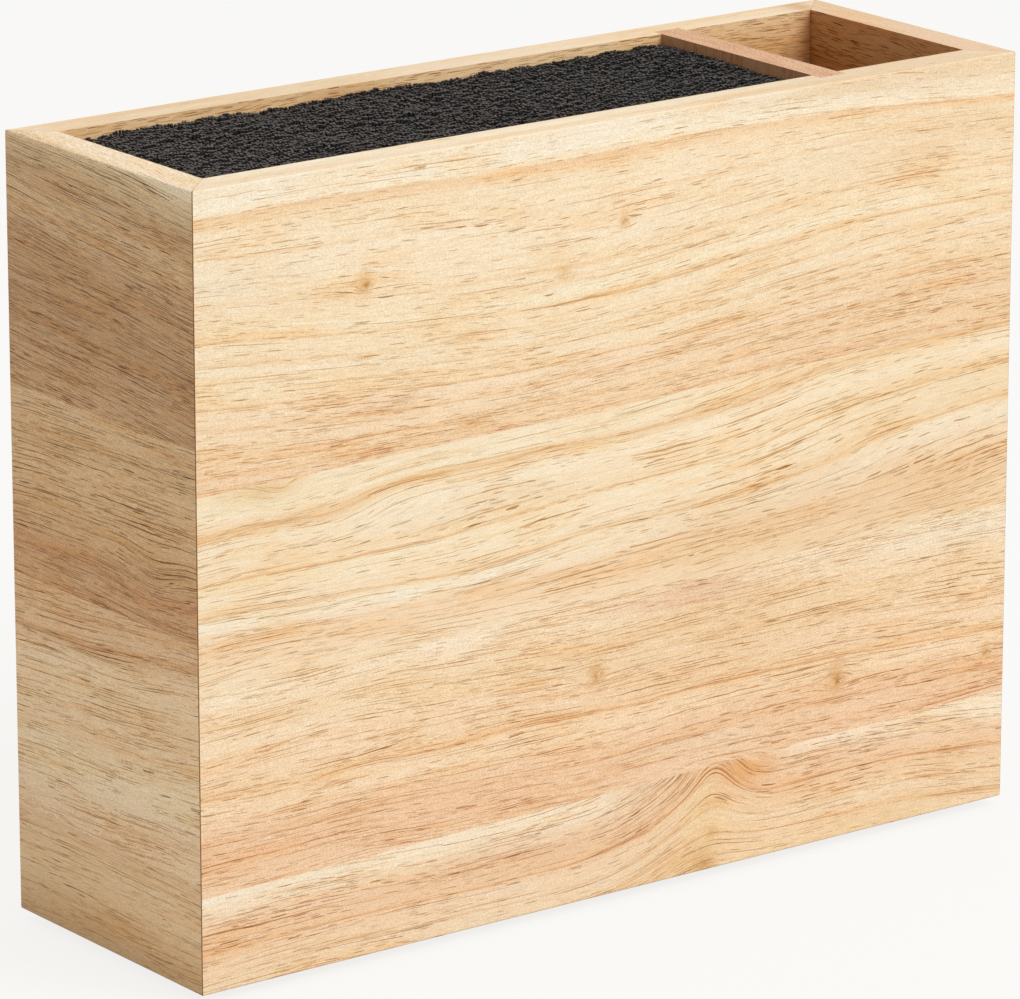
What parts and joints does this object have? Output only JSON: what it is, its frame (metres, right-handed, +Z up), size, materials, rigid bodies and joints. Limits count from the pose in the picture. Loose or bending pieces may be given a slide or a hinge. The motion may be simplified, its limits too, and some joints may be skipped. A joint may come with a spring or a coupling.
{
  "type": "universal knife block",
  "caption": "Tall narrow wooden block with a lift-out bed of upright black bristles that holds any knife blade, and an open compartment at its right end for scissors and utensils.",
  "frame": {"origin": "on the worktop, below the middle of the box, level with the underside of the feet", "axes": "+X to the right along the front, towards the open compartment; +Y from the front to the back; +Z up"},
  "size_m": [0.318, 0.1006, 0.253],
  "materials": {
    "rubberwood": "satin",
    "divider_wood": "satin",
    "base_wood": "satin",
    "tongue_wood": "matte",
    "foot_rubber": "matte",
    "tray_plastic": "matte",
    "bristle": "matte"
  },
  "bodies": {
    "case": {"front_stave_bottom": "rubberwood", "front_stave_lower": "rubberwood", "front_stave_upper": "rubberwood", "front_stave_top": "rubberwood", "back_stave_bottom": "rubberwood", "back_stave_lower": "rubberwood", "back_stave_upper": "rubberwood", "back_stave_top": "rubberwood", "left_stave_bottom": "rubberwood", "left_stave_lower": "rubberwood", "left_stave_upper": "rubberwood", "left_stave_top": "rubberwood", "right_stave_bottom": "rubberwood", "right_stave_lower": "rubberwood", "right_stave_upper": "rubberwood", "right_stave_top": "rubberwood", "mitre_tongue_front_left": "tongue_wood", "mitre_tongue_back_left": "tongue_wood", "mitre_tongue_front_right": "tongue_wood", "mitre_tongue_back_right": "tongue_wood", "divider": "divider_wood", "base": "base_wood", "foot_front_left": "foot_rubber", "foot_front_right": "foot_rubber", "foot_back_left": "foot_rubber", "foot_back_right": "foot_rubber"},
    "bristle_insert": {"insert_tray": "tray_plastic", "bristle_bundle_front_1": "bristle", "bristle_bundle_front_2": "bristle", "bristle_bundle_front_3": "bristle", "bristle_bundle_front_4": "bristle", "bristle_bundle_front_5": "bristle", "bristle_bundle_front_6": "bristle", "bristle_bundle_back_1": "bristle", "bristle_bundle_back_2": "bristle", "bristle_bundle_back_3": "bristle", "bristle_bundle_back_4": "bristle", "bristle_bundle_back_5": "bristle", "bristle_bundle_back_6": "bristle"}
  },
  "joints": [
    {"name": "insert_lift", "type": "slide", "parent": "case", "child": "bristle_insert", "axis": [0, 0, 1], "range_m": [0, 0.245]}
  ]
}
